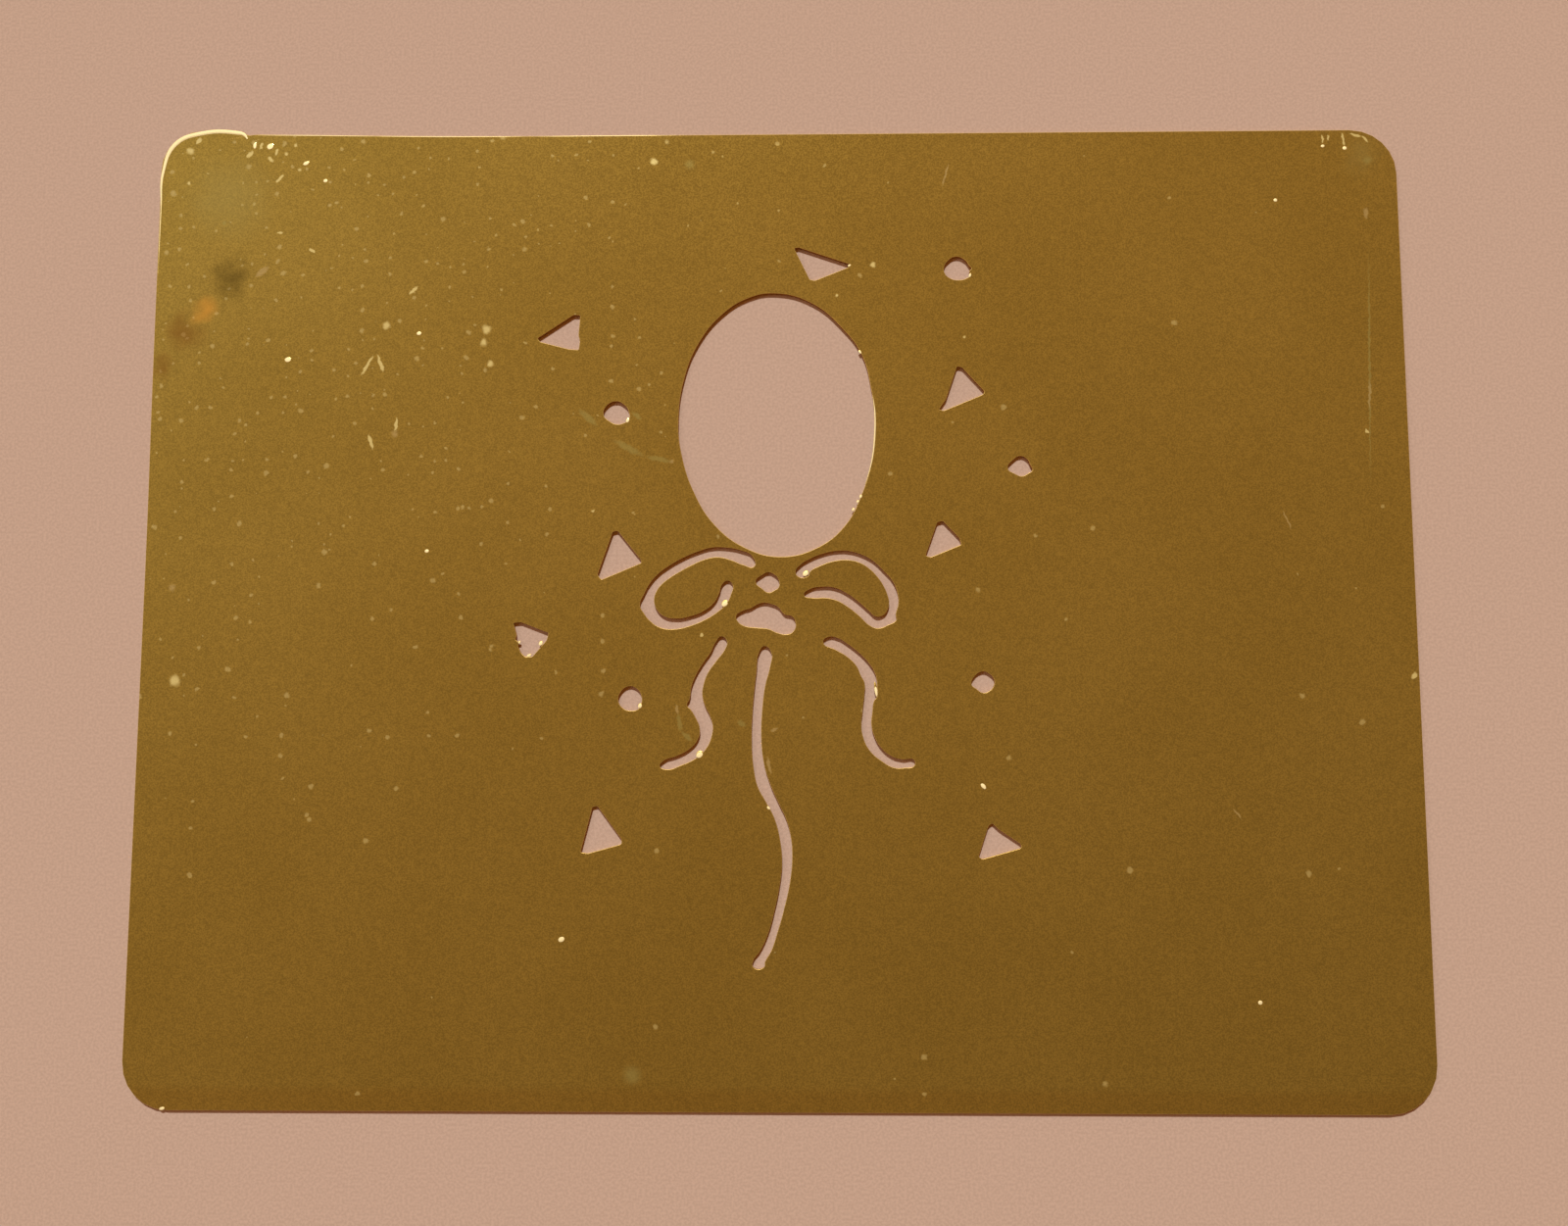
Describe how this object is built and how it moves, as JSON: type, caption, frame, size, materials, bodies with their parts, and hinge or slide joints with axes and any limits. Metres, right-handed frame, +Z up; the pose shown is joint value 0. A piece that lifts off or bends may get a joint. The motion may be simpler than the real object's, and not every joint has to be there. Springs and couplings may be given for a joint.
{
  "type": "embossing stencil",
  "caption": "Thin flat brass sheet with rounded corners, pierced with a party balloon, bow, string and confetti, so that card can be pressed into the openings with a stylus.",
  "frame": {"origin": "middle of the sheet's underside", "axes": "+X along the sheet's length, to the right of the upright balloon; +Y from the string's end towards the balloon; +Z up through the sheet"},
  "size_m": [0.11, 0.085, 0.0004],
  "materials": {
    "brass_sheet": "satin, lightly tarnished and scratched"
  },
  "bodies": {
    "root": {"stencil_plate": "brass_sheet"}
  },
  "joints": []
}
